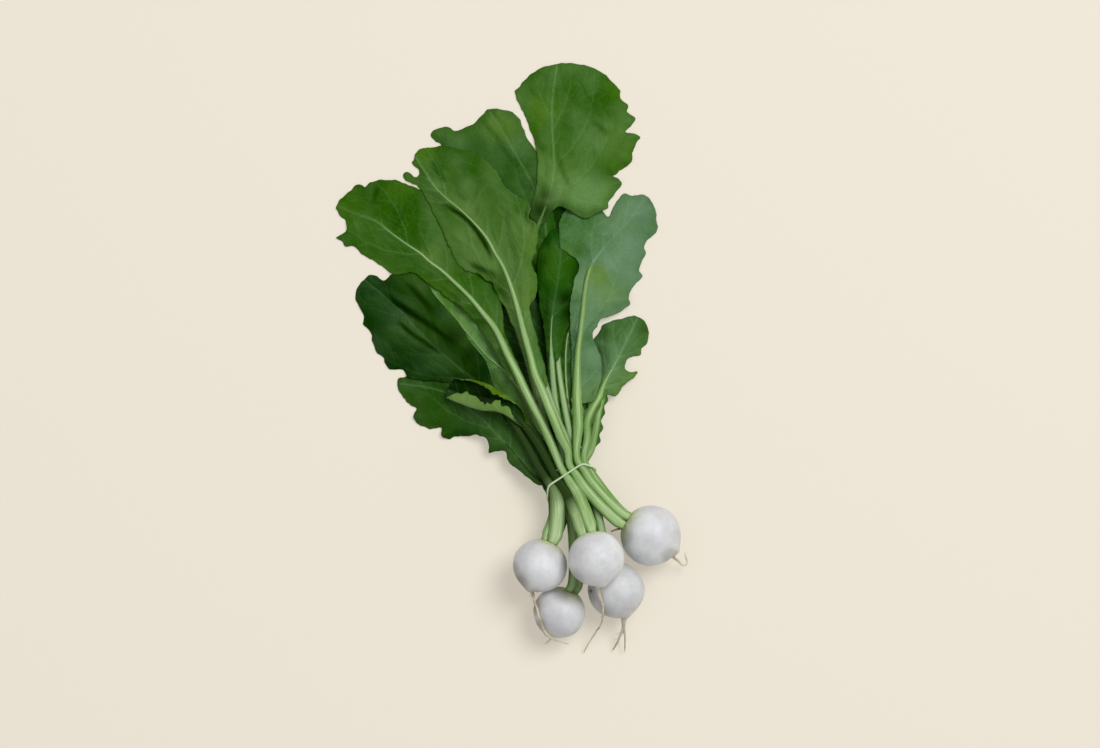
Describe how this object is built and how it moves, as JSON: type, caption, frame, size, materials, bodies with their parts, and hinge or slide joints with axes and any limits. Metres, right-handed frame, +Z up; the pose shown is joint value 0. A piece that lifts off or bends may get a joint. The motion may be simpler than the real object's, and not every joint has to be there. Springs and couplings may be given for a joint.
{
  "type": "turnip bunch",
  "caption": "Tied bunch of small white salad turnips lying on its side: globe roots with thin taproots, leaf stalks gathered in a thin tie, and broad lobed leaves fanned out.",
  "frame": {"origin": "middle of the underside of the bounding box, on the surface the bunch lies on", "axes": "+Y from the roots towards the leaf tips, the longest way; +Z up from the surface, the shortest way; +X to the right with the roots nearest"},
  "size_m": [0.31, 0.5182, 0.089],
  "materials": {
    "turnip_skin": "smooth moist white skin with a soft sheen",
    "leaf_green": "fresh leaf, satin, paler on the back and on the stalk",
    "tie_cord": "thin pale green elastic"
  },
  "bodies": {
    "root": {"turnip_left": "turnip_skin", "turnip_centre": "turnip_skin", "turnip_right": "turnip_skin", "turnip_lower_left": "turnip_skin", "turnip_lower_right": "turnip_skin", "leaf_under_left": "leaf_green", "leaf_under_middle": "leaf_green", "leaf_slit": "leaf_green", "leaf_under_right": "leaf_green", "leaf_edge_right": "leaf_green", "leaf_behind_left": "leaf_green", "leaf_low_left_small": "leaf_green", "leaf_low_left": "leaf_green", "leaf_curled": "leaf_green", "leaf_tip_middle": "leaf_green", "leaf_inner": "leaf_green", "leaf_low_right": "leaf_green", "leaf_right": "leaf_green", "leaf_tip_right": "leaf_green", "leaf_left_big": "leaf_green", "leaf_spine": "leaf_green", "tie": "tie_cord"}
  },
  "joints": []
}
